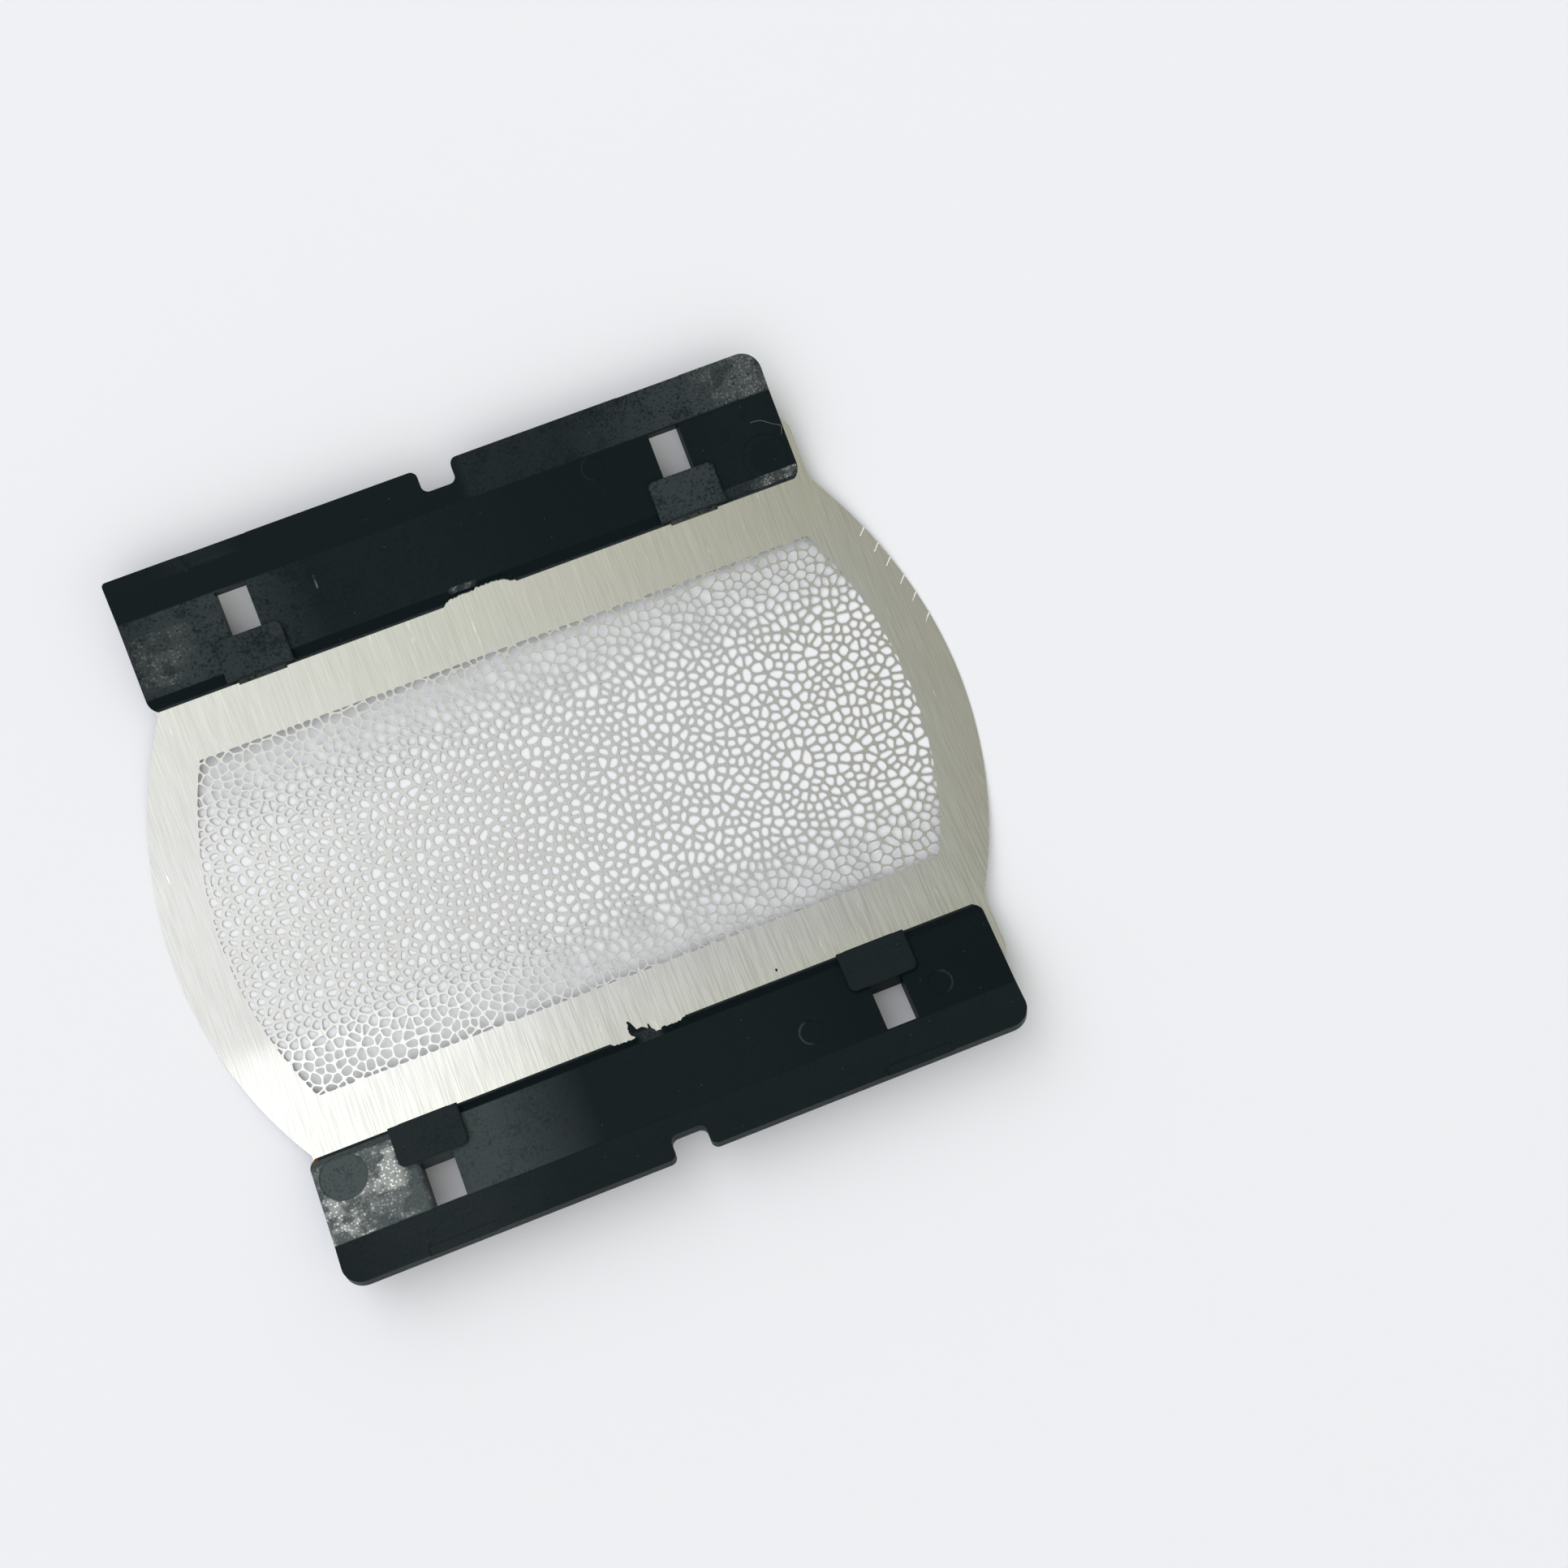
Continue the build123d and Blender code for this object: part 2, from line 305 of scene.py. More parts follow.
def half_outline(sheet):
    """Outline of the upper half of the sheet, from its right side over the tail to its left side."""
    end = sheet.tail_start + sheet.tail_length
    foot = sheet.tail_start + sheet.slot_foot
    heights = [sheet.tail_start * step / SIDE_STEPS for step in range(SIDE_STEPS + 1)]
    right = [(sheet_side(sheet, t), t) for t in heights]
    ears = []
    for side, turn in ((1.0, 0.0), (-1.0, 1.0)):
        middle = side * (sheet.neck - sheet.tail_corner)
        angles = [0.5 * math.pi * (turn + step / EAR_STEPS) for step in range(EAR_STEPS + 1)]
        ears.append([(
            middle + sheet.tail_corner * math.cos(angle),
            end - sheet.tail_corner + sheet.tail_corner * math.sin(angle),
        ) for angle in angles])
    slots = []
    for middle in (sheet.strip_offset + sheet.slot_middle, sheet.strip_offset - sheet.slot_middle):
        near, far = middle + sheet.slot_half, middle - sheet.slot_half
        slots += [(near, end), (near, foot), (far, foot), (far, end)]
    return right + ears[0] + slots + ears[1] + [(-x, t) for x, t in reversed(right)]


def sheet_outline(sheet):
    """Outline of the whole sheet: the lower half mirrors the upper one."""
    upper = half_outline(sheet)
    lower = [(x, -t) for x, t in reversed(upper)]
    return upper[:-1] + lower[:-1]


def rectangle(x, t, half_x, half_t):
    """Corners of a rectangle about a place in plan."""
    return [(x + a * half_x, t + b * half_t) for a, b in ((-1, -1), (1, -1), (1, 1), (-1, 1))]


def anchor_loops(sheet):
    """Openings in the tails, filled by the plastic."""
    middle = sheet.tail_start + sheet.anchor_depth
    places = (-sheet.anchor_outer, -sheet.anchor_inner, 0.0, sheet.anchor_inner, sheet.anchor_outer)
    return [
        rectangle(x, side * middle, sheet.anchor_length / 2.0, sheet.anchor_width / 2.0)
        for x in places for side in (1.0, -1.0)
    ]


def opening_seeds(sheet):
    """Seeded scatter of points over the field and a little past it, none closer than the opening gap."""
    dice = random.Random(sheet.seed)
    past = 2.0 * sheet.opening_gap
    half_x = sheet.field_half_width + past
    half_t = sheet.field_half_height + past
    wanted = int(4.0 * half_x * half_t / MM ** 2 * sheet.openings_per_mm2)
    cell = sheet.opening_gap / math.sqrt(2.0)
    taken = {}
    seeds = []
    for _ in range(wanted * TRIES):
        x = dice.uniform(-half_x, half_x)
        t = dice.uniform(-half_t, half_t)
        column, row = int(x // cell), int(t // cell)
        free = True
        for near_column in range(column - 2, column + 3):
            for near_row in range(row - 2, row + 3):
                other = taken.get((near_column, near_row))
                if other and math.hypot(other[0] - x, other[1] - t) < sheet.opening_gap:
                    free = False
        if free:
            taken[(column, row)] = (x, t)
            seeds.append((x, t))
            if len(seeds) >= wanted:
                break
    return seeds


def sides(points):
    """Each corner of a polygon with the one after it."""
    return zip(points, points[1:] + points[:1])


def clip(points, px, py, nx, ny):
    """Part of a convex polygon behind the line through (px, py) with outward normal (nx, ny)."""
    kept = []
    for (ax, ay), (bx, by) in sides(points):
        da = (ax - px) * nx + (ay - py) * ny
        db = (bx - px) * nx + (by - py) * ny
        if da <= 0.0:
            kept.append((ax, ay))
        if (da < 0.0 < db) or (db < 0.0 < da):
            share = da / (da - db)
            kept.append((ax + share * (bx - ax), ay + share * (by - ay)))
    return kept


def polygon_area(points):
    return sum(ax * by - bx * ay for (ax, ay), (bx, by) in sides(points)) / 2.0


def round_corners(points, share):
    """Cuts every corner of a polygon once."""
    rounded = []
    for (ax, ay), (bx, by) in sides(points):
        rounded.append((ax + share * (bx - ax), ay + share * (by - ay)))
        rounded.append((bx + share * (ax - bx), by + share * (ay - by)))
    return rounded


def without_short_edges(points, shortest):
    """Joins corners that stand closer together than the shortest edge wanted."""
    points = list(points)
    while len(points) > 3:
        edges = [math.dist(a, b) for a, b in sides(points)]
        least = min(edges)
        if least >= shortest:
            break
        index = edges.index(least)
        after = (index + 1) % len(points)
        a, b = points[index], points[after]
        points[index] = ((a[0] + b[0]) / 2.0, (a[1] + b[1]) / 2.0)
        points.pop(after)
    return points


def field_lines(sheet):
    """Tangents and straight lines that bound the field."""
    half = sheet.field_half_height
    lines = [(0.0, half, 0.0, 1.0), (0.0, -half, 0.0, -1.0)]
    radius = barrel_radius(half, sheet.field_half_width - sheet.field_corner_width)
    reach = math.asin(half / radius)
    middle = sheet.field_half_width - radius
    for step in range(-FIELD_STEPS, FIELD_STEPS + 1):
        angle = reach * step / FIELD_STEPS
        nx, ny = math.cos(angle), math.sin(angle)
        lines.append((middle + radius * nx, radius * ny, nx, ny))
        lines.append((-middle - radius * nx, radius * ny, -nx, ny))
    return lines


def smooth_step(value, low, high):
    """0 up to the low value and 1 from the high one, with a smooth rise between them."""
    share = min(1.0, max(0.0, (value - low) / (high - low)))
    return share * share * (3.0 - 2.0 * share)


def bar_width(sheet, x, t):
    """Width of the bars at a place in the field."""
    rightward = smooth_step(x, *THIN_RIGHT)
    outward = smooth_step(abs(t), *THIN_OUTWARD)
    width = sheet.bar_broad + rightward * (sheet.bar_right - sheet.bar_broad)
    return width + outward * (sheet.bar_edge - width)


def opening_loops(sheet):
    """Openings: each point owns the ground nearest to it, less half a bar, with rounded corners."""
    seeds = opening_seeds(sheet)
    tree = kdtree.KDTree(len(seeds))
    for index, (x, t) in enumerate(seeds):
        tree.insert((x, t, 0.0), index)
    tree.balance()
    bounds = field_lines(sheet)
    edge_zone = 3.0 * sheet.opening_gap
    reach = 2.0 * sheet.opening_gap
    loops = []
    for sx, st in seeds:
        if abs(st) > sheet.field_half_height + sheet.opening_gap:
            continue
        if abs(sx) > field_side(sheet, st) + sheet.opening_gap:
            continue
        cell = rectangle(sx, st, reach, reach)
        for place, _, gap in tree.find_n((sx, st, 0.0), NEIGHBOURS)[1:]:
            nx, ny = (place.x - sx) / gap, (place.y - st) / gap
            half = (gap - bar_width(sheet, (place.x + sx) / 2.0, (place.y + st) / 2.0)) / 2.0
            cell = clip(cell, sx + nx * half, st + ny * half, nx, ny)
            if len(cell) < 3:
                break
        if abs(st) > sheet.field_half_height - edge_zone or abs(sx) > field_side(sheet, st) - edge_zone:
            for px, py, nx, ny in bounds:
                if len(cell) >= 3:
                    cell = clip(cell, px, py, nx, ny)
        if len(cell) < 3:
            continue
        cell = without_short_edges(cell, LEAST_EDGE)
        if polygon_area(cell) > LEAST_OPENING ** 2:
            loops.append(round_corners(cell, CORNER_SHARE))
    return loops


def margin_points(sheet):
    """Extra points in the plain margins and tails, so that the bend stays smooth there."""
    end = sheet.tail_start + sheet.tail_length
    foot = sheet.tail_start + sheet.slot_foot
    anchor = sheet.tail_start + sheet.anchor_depth
    points = []
    rows = int(end / MARGIN_STEP)
    columns = int(sheet.half_width / MARGIN_STEP)
    for row in range(-rows, rows + 1):
        t = row * MARGIN_STEP
        inside = sheet_side(sheet, t) if abs(t) < sheet.tail_start else sheet.neck
        for column in range(-columns, columns + 1):
            x = (column + 0.5 * (row % 2)) * MARGIN_STEP
            past_edge = abs(x) > inside - MARGIN_CLEAR or abs(t) > foot - MARGIN_CLEAR
            at_anchor = abs(abs(t) - anchor) < sheet.anchor_width
            in_rows = abs(t) < sheet.field_half_height + MARGIN_CLEAR
            in_field = in_rows and abs(x) < field_side(sheet, t) + MARGIN_CLEAR
            if not (past_edge or at_anchor or in_field):
                points.append((x, t))
    return points


def screen_mesh(sheet):
    """Points and triangles of the sheet's underside, with the openings left free."""
    points = []
    edges = []
    owner = []
    loops = [sheet_outline(sheet)] + anchor_loops(sheet) + opening_loops(sheet)
    for number, loop in enumerate(loops):
        start = len(points)
        points.extend(loop)
        owner.extend([number] * len(loop))
        for index in range(len(loop)):
            edges.append((start + index, start + (index + 1) % len(loop)))
    extra = margin_points(sheet)
    points.extend(extra)
    owner.extend([0] * len(extra))
    # The triangulation works in millimetres, where its tolerance is far below a bar's width
    flat = [Vector((x / MM, t / MM)) for x, t in points]
    placed, _, faces, origin, _, _ = geometry.delaunay_2d_cdt(flat, edges, [], 1, 1e-7)
    loop_of = [owner[sources[0]] for sources in origin]
    kept = []
    for face in faces:
        owners = {loop_of[index] for index in face}
        if len(owners) > 1 or owners == {0}:
            kept.append(tuple(face))
    places = [on_sheet(sheet, point.x * MM, point.y * MM) for point in placed]
    return places, kept


def sanded_nickel(sheet):
    """Electroformed nickel, sanded along Y: a grey satin sheen drawn into fine bright and dark streaks."""
    material, tree = new_material("sanded_electroformed_nickel")
    place = add_node(tree, "TexCoord").outputs["Object"]
    # Two sets of sanding scratches at a small angle, 0.07 mm apart, 2.5 and 4 mm long; real ones are finer.
    # The third set is deep scratches 4 mm long, of which only a few show, about 1.5 mm apart.
    scratches = []
    for spacing, reach, angle, detail, roughness in (
        (0.07 * MM, 2.5 * MM, 0.03, 3.0, 0.55),
        (0.07 * MM, 4.0 * MM, -0.06, 3.0, 0.55),
        (0.3 * MM, 4.0 * MM, -0.08, 4.0, 0.7),
    ):
        along = add_node(tree, "Mapping", {
            "Vector": place, "Scale": (1.0 / spacing, 1.0 / reach, 1.0 / reach), "Rotation": (0.0, 0.0, angle)
        }).outputs["Vector"]
        scratches.append(add_node(tree, "TexNoise", {
            "Vector": along, "Scale": 1.0, "Detail": detail, "Roughness": roughness
        }).outputs["Fac"])
    first, second, deepest = scratches
    # The streaks are drawn with stronger contrast on the lower margin: a painted streaky reflection of the
    # lamp there, over the sanding
    across = add_node(tree, "SeparateXYZ", {"Vector": place}).outputs["Y"]
    spread = add_node(tree, "MapRange", {
        "Value": across, "From Min": -12.0 * MM, "From Max": -4.0 * MM, "To Min": 0.30, "To Max": 0.65
    }).outputs["Result"]
    # Both sets together, stretched about their middle
    tone = first
    for operation, other, clamped in (
        ("ADD", second, False), ("SUBTRACT", 1.0, False), ("DIVIDE", spread, False), ("ADD", 0.6, True)
    ):
        tone = add_node(tree, "Math", {
            0: tone, 1: other
        }, operation=operation, use_clamp=clamped).outputs[0]
    deep = add_node(tree, "MapRange", {
        "Value": deepest, "From Min": 0.66, "From Max": 0.76
    }).outputs["Result"]
    shade = sheet.nickel_shade
    for mask, layer in ((tone, sheet.nickel), (deep, sheet.nickel_bright)):
        shade = add_node(tree, "Mix", {0: mask, 6: shade, 7: layer}, data_type="RGBA").outputs[2]
    # Broad clouds 7 mm across, where the sanding bit more or less
    clouds = add_node(tree, "TexNoise", {
        "Vector": place, "Scale": 1.0 / (7.0 * MM), "Detail": 2.0
    }).outputs["Fac"]
    rough = add_node(tree, "MapRange", {
        "Value": clouds, "From Min": 0.3, "From Max": 0.7, "To Min": 0.10, "To Max": 0.15
    }).outputs["Result"]
    relief = add_node(tree, "Math", {0: first, 1: deep}, operation="SUBTRACT").outputs[0]
    bump = add_node(tree, "Bump", {
        "Height": relief, "Strength": 0.25, "Distance": 0.003 * MM
    }).outputs["Normal"]
    shader = add_node(tree, "BsdfPrincipled", {
        "Base Color": shade, "Metallic": 1.0, "Roughness": rough, "Normal": bump
    })
    add_node(tree, "OutputMaterial", {"Surface": shader.outputs["BSDF"]})
    return material


def strip_foot(sheet):
    """Where the plane of the upper strip starts: the end of the bend."""
    return Vector((0.0, sheet.tail_start, bend_rise(sheet)))


def strip_place(tree, sheet, side):
    """Coordinates in a strip's plane: x along it, y from the end of the bend outward, z up from the foil."""
    shift = Matrix.Rotation(-sheet.lift_angle, 3, "X") @ strip_foot(sheet)
    place = add_node(tree, "TexCoord").outputs["Object"]
    return add_node(tree, "Mapping", {
        "Vector": place, "Scale": (1.0, side, 1.0), "Rotation": (-sheet.lift_angle, 0.0, 0.0),
        "Location": -shift
    }).outputs["Vector"]


def band(tree, value, low, high, soft):
    """1 between two places, falling to 0 over a soft edge on each side."""
    rise = add_node(tree, "MapRange", {
        "Value": value, "From Min": low - soft, "From Max": low + soft
    }).outputs["Result"]
    fall = add_node(tree, "MapRange", {
        "Value": value, "From Min": high - soft, "From Max": high + soft, "To Min": 1.0, "To Max": 0.0
    }).outputs["Result"]
    return add_node(tree, "Math", {0: rise, 1: fall}, operation="MULTIPLY").outputs[0]


# Folds and steps of a strip end the patches of wear and painted sheen sharply, within this softness
FOLD_SOFT = 0.04 * MM


def patch_mask(tree, axes, patch):
    """Mask of one patch of wear, stain, painted sheen and painted glints: its span along the strip and across
    it in millimetres, with its strength.
    """
    x_low, x_high, y_low, y_high, soft, strength = patch
    along = band(tree, axes["X"], x_low * MM, x_high * MM, soft * MM)
    across = band(tree, axes["Y"], y_low * MM, y_high * MM, FOLD_SOFT)
    both = add_node(tree, "Math", {0: along, 1: across}, operation="MULTIPLY").outputs[0]
    return add_node(tree, "Math", {0: both, 1: strength}, operation="MULTIPLY").outputs[0]


def strongest_patch(tree, axes, patches):
    """Strongest of several patches at a place."""
    total = patch_mask(tree, axes, patches[0])
    for patch in patches[1:]:
        other = patch_mask(tree, axes, patch)
        total = add_node(tree, "Math", {0: total, 1: other}, operation="MAXIMUM").outputs[0]
    return total


# Patches of wear, of stain and of painted sheen and glints, in millimetres: from x, to x, from y, to y,
# softness along the strip, strength.
# A mark is the round print of the mould: its x and y, radius and how grey it is drawn.
# Rings are the rims of ejector prints: their x and y, radius, and the strength and side along x of a painted
# highlight on one half.
# Pitting says how dark the pits are for each unit of wear and painted sheen.
# Mottling and breakup are the least and the greatest share of broad scuffs with painted sheen, and of finer
# wear.
# Upper strip: the lighter grey of the plate's left end, of the lip and tongues and of the flange's right end
# is mostly a painted sheen over real scuffs; the bevel's right end carries painted glints.
UPPER_WEAR_AND_SHEEN = {
    "plate": (
        (-21.0, -11.5, 1.0, 5.6, 3.2, 0.115),
        (-12.0, 1.0, 1.0, 5.6, 4.0, 0.014),
        (-16.8, -12.8, 7.3, 8.3, 0.8, 0.025),
        (1.0, 20.5, 5.62, 8.3, 0.3, 0.035),
        (9.5, 20.5, 5.62, 8.3, 4.5, 0.125),
        (16.0, 20.5, 5.62, 8.3, 2.2, 0.15),
        (14.8, 19.4, 0.42, 1.0, 0.5, 0.085),
        (-20.0, 19.6, 0.22, 0.4, 0.3, 0.07),
        (-15.1, -12.2, 0.08, 0.4, 0.1, 0.20),
        (11.5, 14.4, 0.08, 0.4, 0.1, 0.22),
        (-1.8, -0.6, 0.8, 1.1, 0.3, 0.08),
        (-9.01, -8.92, 3.75, 4.55, 0.03, 0.45),
        (14.5, 19.6, 1.05, 5.5, 2.0, 0.012),
    ),
    "pads": ((-15.8, -11.5, 0.4, 3.0, 0.1, 0.095), (10.8, 15.1, 0.4, 3.0, 0.1, 0.125)),
    "bruises_and_glints": (
        (-20.2, -17.2, 1.4, 4.6, 0.9, 0.09),
        (16.0, 20.5, 5.7, 8.2, 1.2, 0.11),
        (17.2, 19.5, 0.42, 1.0, 0.6, 0.7),
        (-1.8, -0.6, 0.8, 1.1, 0.3, 0.25),
    ),
    "stains": ((11.5, 14.4, 0.08, 0.3, 0.1, 0.08),),
    "mark": (18.05, 2.0, 0.95, 0.004),
    "rings": ((8.35, 4.8, 0.7, 0.06, -1.0),),
    "pitting": 7.0,
    "mottling": (0.4, 1.6),
    "breakup": (0.0, 2.1),
}
# Lower strip: the light left end is mostly a painted sheen with painted glints of the lamp, over real scuffs
# and bruises; the faint patch in the plate's middle is a painted sheen.
LOWER_WEAR_AND_SHEEN = {
    "plate": (
        (-20.6, -14.7, 0.44, 5.58, 0.2, 0.27),
        (-15.2, -7.2, 1.0, 5.58, 3.0, 0.19),
        (-7.0, 8.0, 1.0, 5.58, 3.0, 0.012),
        (-20.6, 20.5, 5.62, 8.3, 0.3, 0.02),
        (-20.6, -8.0, 5.62, 8.3, 4.0, 0.05),
        (-20.0, 19.6, 0.22, 0.4, 0.3, 0.05),
        (-0.9, 0.3, 0.3, 1.0, 0.2, 0.12),
    ),
    "pads": ((-15.8, -11.5, 0.4, 3.0, 0.1, 0.05), (10.8, 15.1, 0.4, 3.0, 0.1, 0.03)),
    "bruises_and_glints": (
        (-20.8, -17.6, 2.8, 5.55, 0.7, 1.0),
        (-17.6, -15.4, 1.3, 3.7, 0.5, 1.0),
        (-20.6, -14.8, 0.9, 5.5, 0.3, 0.26),
    ),
    "stains": ((-20.5, -19.9, 0.2, 0.62, 0.12, 0.9),),
    "mark": (-18.75, 2.0, 1.35, 0.28),
    "rings": ((8.05, 4.05, 0.7, 0.2, -1.0), (15.75, 4.05, 0.7, 0.1, 1.0)),
    "pitting": 1.2,
    "mottling": (0.8, 1.25),
    "breakup": (0.55, 1.5),
}


def spots(tree, place, spacing, inner, outer, share):
    """Round spots, one in each cell of the given spacing, of which only a share shows."""
    cells = add_node(tree, "TexVoronoi", {"Vector": place, "Scale": 1.0 / spacing})
    discs = add_node(tree, "MapRange", {
        "Value": cells.outputs["Distance"], "From Min": inner, "From Max": outer, "To Min": 1.0, "To Max": 0.0
    }).outputs["Result"]
    draw = add_node(tree, "SeparateColor", {"Color": cells.outputs["Color"]}).outputs["Red"]
    shown = add_node(tree, "Math", {0: draw, 1: share}, operation="LESS_THAN").outputs[0]
    return add_node(tree, "Math", {0: discs, 1: shown}, operation="MULTIPLY").outputs[0]


def cloud_pattern(tree, place, size, detail, levels, results=(0.0, 1.0)):
    """Cloudy pattern of a given size, stretched from a pair of levels to a pair of results."""
    clouds = add_node(tree, "TexNoise", {
        "Vector": place, "Scale": 1.0 / size, "Detail": detail, "Roughness": 0.62
    }).outputs["Fac"]
    return add_node(tree, "MapRange", {
        "Value": clouds, "From Min": levels[0], "From Max": levels[1],
        "To Min": results[0], "To Max": results[1]
    }).outputs["Result"]


# Heights above the underside of the foil, in the plane of a strip: foot and top of the pads, floor of the
# round mark and floor of the ejector prints
PAD_HEIGHTS = (0.75 * MM, 2.0 * MM)
MARK_FLOOR = 0.55 * MM
RING_FLOOR = 0.56 * MM
# Depth of the inner part of a strip, on which the pads stand
PAD_ZONE = 3.0 * MM
# How far the rim of an ejector print reaches in and out from its radius, in millimetres
RIM_IN, RIM_OUT = 0.06, 0.03
# The half of such a rim that carries a painted highlight, from and to these shares of its radius
RIM_HALF = (0.3, 2.0)
# Softness of the edges of pads and rims, of the round mark, and of the painted highlight on half a rim
STEP_SOFT = 0.03 * MM
MARK_SOFT = 0.05 * MM
HALF_SOFT = 0.2 * MM
# Strength of the pale ground of a bruise with its painted glint, and of the lone nicks
BRUISE_AND_GLINT_GROUND = 0.58
NICK_STRENGTH = 0.22


def moulded_plastic(name, strips, sheet, side, wear_and_sheen):
    """Black thermoplastic from a satin mould: near black with a painted grey sheen and painted glints,
    scuffed and pitted in use.
    """
    material, tree = new_material(name)
    place = strip_place(tree, sheet, side)
    axes = add_node(tree, "SeparateXYZ", {"Vector": place}).outputs
    # Mould grain 0.08 mm across
    grain = cloud_pattern(tree, place, 0.08 * MM, 3.0, (0.0, 1.0))
    # Scuffs and painted sheen mottled 1.4 mm across, broken up by finer wear 0.16 mm across
    broad = cloud_pattern(tree, place, 1.4 * MM, 6.0, (0.34, 0.68), wear_and_sheen["mottling"])
    fine = cloud_pattern(tree, place, 0.16 * MM, 4.0, (0.32, 0.68), wear_and_sheen["breakup"])
    # Bruises and painted glints gather in clusters 1.3 mm across, of specks 0.12 mm across
    clusters = cloud_pattern(tree, place, 1.3 * MM, 6.0, (0.46, 0.57), (0.12, 1.0))
    specks = spots(tree, place, 0.17 * MM, 0.26, 0.42, 0.75)
    # Pits 0.1 mm across, about 0.35 mm apart
    pits = spots(tree, place, 0.24 * MM, 0.16, 0.28, 0.45)
    # Lone nicks 0.06 mm across, everywhere on the strip
    nicks = spots(tree, place, 0.42 * MM, 0.04, 0.10, 0.16)

    # Pads stand above the plate and have their own wear and painted sheen
    raised = band(tree, axes["Z"], *PAD_HEIGHTS, STEP_SOFT)
    inner = band(tree, axes["Y"], 0.0, PAD_ZONE, STEP_SOFT)
    mark_x, mark_y, mark_radius, mark_grey = wear_and_sheen["mark"]
    away = add_node(tree, "VectorMath", {
        0: place, 1: (mark_x * MM, mark_y * MM, MARK_FLOOR)
    }, operation="DISTANCE").outputs["Value"]
    mark = band(tree, away, -1.0 * MM, mark_radius * MM, MARK_SOFT)
    # Each ejector print's rim gets a painted highlight on one half
    rings = 0.0
    for ring_x, ring_y, ring_radius, ring_highlight, ring_side in wear_and_sheen["rings"]:
        away = add_node(tree, "VectorMath", {
            0: place, 1: (ring_x * MM, ring_y * MM, RING_FLOOR)
        }, operation="DISTANCE").outputs["Value"]
        rim = band(tree, away, (ring_radius - RIM_IN) * MM, (ring_radius + RIM_OUT) * MM, STEP_SOFT)
        near, far = sorted((ring_x + ring_side * share * ring_radius) * MM for share in RIM_HALF)
        half = band(tree, axes["X"], near, far, HALF_SOFT)
        worn_and_lit = add_node(tree, "Math", {0: half, 1: ring_highlight}, operation="MULTIPLY").outputs[0]
        rings = add_node(tree, "Math", {
            0: rim, 1: worn_and_lit, 2: rings
        }, operation="MULTIPLY_ADD").outputs[0]
    masks = {}
    for mask, operation, first, second in (
        ("pad", "MULTIPLY", raised, inner),
        ("not_pad", "SUBTRACT", 1.0, "pad"),
        ("not_mark", "SUBTRACT", 1.0, mark),
        ("plate", "MULTIPLY", strongest_patch(tree, axes, wear_and_sheen["plate"]), "not_pad"),
        ("plate", "MULTIPLY", "plate", "not_mark"),
        ("round", "MULTIPLY", mark, mark_grey),
        ("pads", "MULTIPLY", strongest_patch(tree, axes, wear_and_sheen["pads"]), "pad"),
        ("worn_and_lit", "MAXIMUM", "plate", "pads"),
        ("worn_and_lit", "MAXIMUM", "worn_and_lit", "round"),
        ("worn_and_lit", "MAXIMUM", "worn_and_lit", rings),
        ("wear_and_sheen", "MULTIPLY", broad, fine),
        ("scuffs_and_sheen", "MULTIPLY", "worn_and_lit", "wear_and_sheen"),
        ("bruised_and_glinting", "MULTIPLY", strongest_patch(tree, axes, wear_and_sheen["bruises_and_glints"]), clusters),
        ("bruised_and_glinting", "MULTIPLY", "bruised_and_glinting", "not_pad"),
        ("bruised_and_glinting", "MULTIPLY", "bruised_and_glinting", "not_mark"),
        ("pale", "MULTIPLY", "bruised_and_glinting", BRUISE_AND_GLINT_GROUND),
        ("sparkling", "MULTIPLY", "bruised_and_glinting", specks),
        ("pitted", "MULTIPLY", pits, "worn_and_lit"),
        ("pitted", "MULTIPLY", "pitted", wear_and_sheen["pitting"]),
        ("nicked", "MULTIPLY", nicks, NICK_STRENGTH),
        ("stained", "MULTIPLY", strongest_patch(tree, axes, wear_and_sheen["stains"]), fine),
    ):
        first, second = (masks[item] if isinstance(item, str) else item for item in (first, second))
        masks[mask] = add_node(tree, "Math", {
            0: first, 1: second
        }, operation=operation, use_clamp=True).outputs[0]
    shade = strips.plastic
    # Colour layers: the scuffs carry the painted sheen, and the pale ground and sparkling specks carry the
    # painted glints of the lamp, over real scuffs and bruises
    for mask, layer in (
        ("scuffs_and_sheen", strips.scuff_and_sheen), ("pale", strips.bruise_and_glint), ("pitted", strips.plastic),
        ("sparkling", strips.sparkle), ("nicked", strips.scuff_and_sheen), ("stained", strips.stain),
    ):
        shade = add_node(tree, "Mix", {
            0: masks[mask], 6: shade, 7: layer
        }, data_type="RGBA").outputs[2]
    rough = add_node(tree, "MapRange", {
        "Value": masks["worn_and_lit"], "To Min": 0.40, "To Max": 0.55
    }).outputs["Result"]
    relief = add_node(tree, "Math", {
        0: grain, 1: masks["pitted"]
    }, operation="SUBTRACT").outputs[0]
    bump = add_node(tree, "Bump", {
        "Height": relief, "Strength": 0.5, "Distance": 0.02 * MM
    }).outputs["Normal"]
    shader = add_node(tree, "BsdfPrincipled", {
        "Base Color": shade, "Roughness": rough, "Normal": bump, "IOR": 1.5, "Specular IOR Level": 0.05
    })
    add_node(tree, "OutputMaterial", {"Surface": shader.outputs["BSDF"]})
    return material


